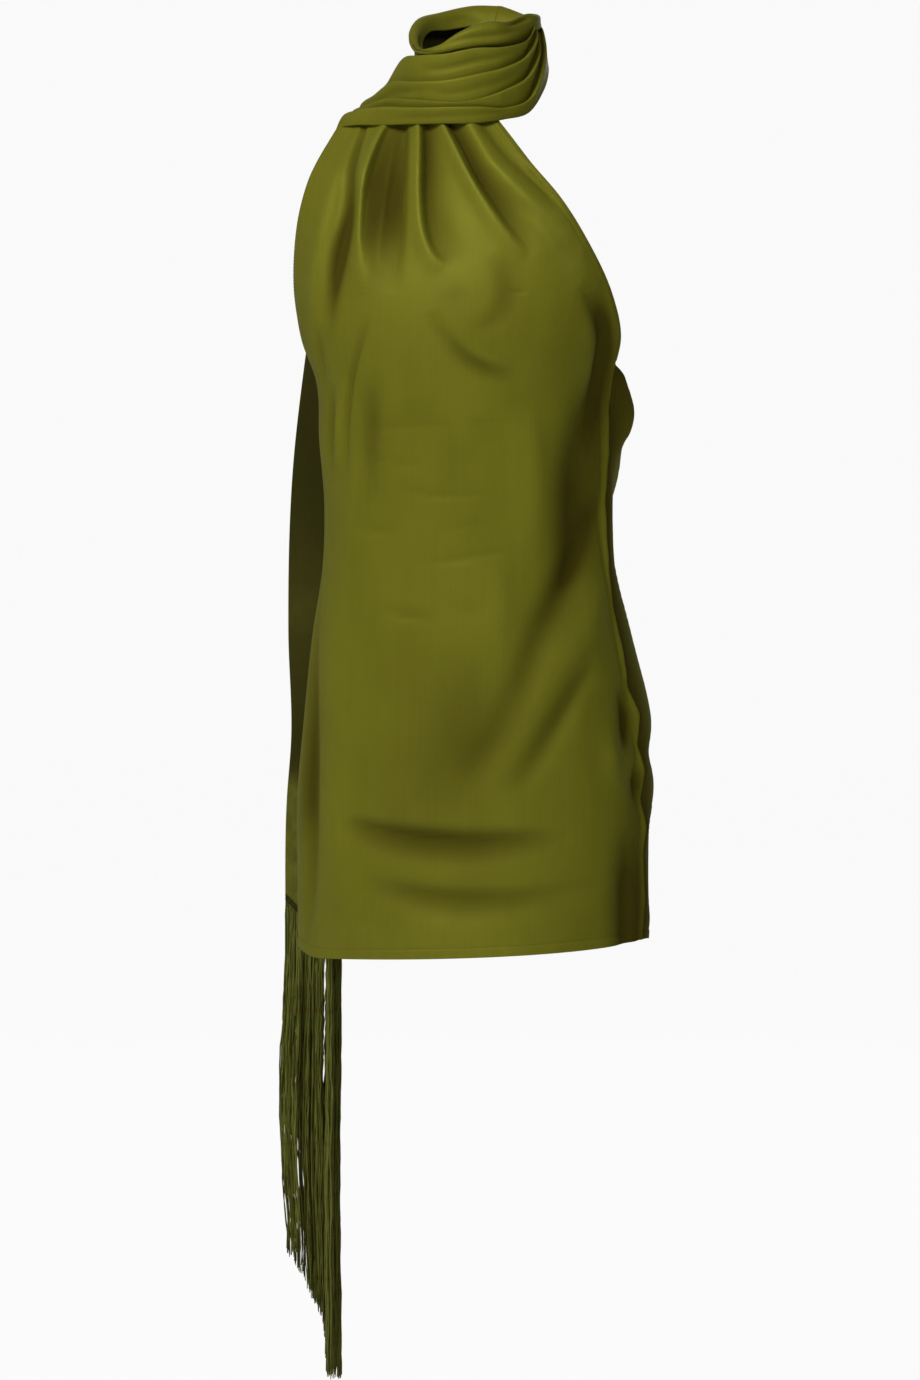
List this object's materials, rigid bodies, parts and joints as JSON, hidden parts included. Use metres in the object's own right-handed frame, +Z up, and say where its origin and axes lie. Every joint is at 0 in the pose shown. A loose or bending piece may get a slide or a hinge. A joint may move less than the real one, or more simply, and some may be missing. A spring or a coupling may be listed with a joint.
{
  "type": "fringed halter mini dress",
  "caption": "Sleeveless mini dress, filled out: pleated halter front, low cowl back, scarf wound round the neck with one end hanging behind, ending in long fringe.",
  "frame": {"origin": "centre of the neck, inside the wound scarf, where the wearer holds the dress up", "axes": "+Z up, -Y to the front of the dress, +X to the wearer's left"},
  "size_m": [0.415, 0.2565, 1.3632],
  "materials": {
    "satin": "soft satin sheen, olive green",
    "thread": "twisted silky threads, olive green"
  },
  "bodies": {
    "root": {"front_panel": "satin", "back_panel": "satin", "scarf_inner_turn": "satin", "scarf_outer_turn": "satin", "scarf_tail": "satin", "tail_fringe": "thread"}
  },
  "joints": []
}
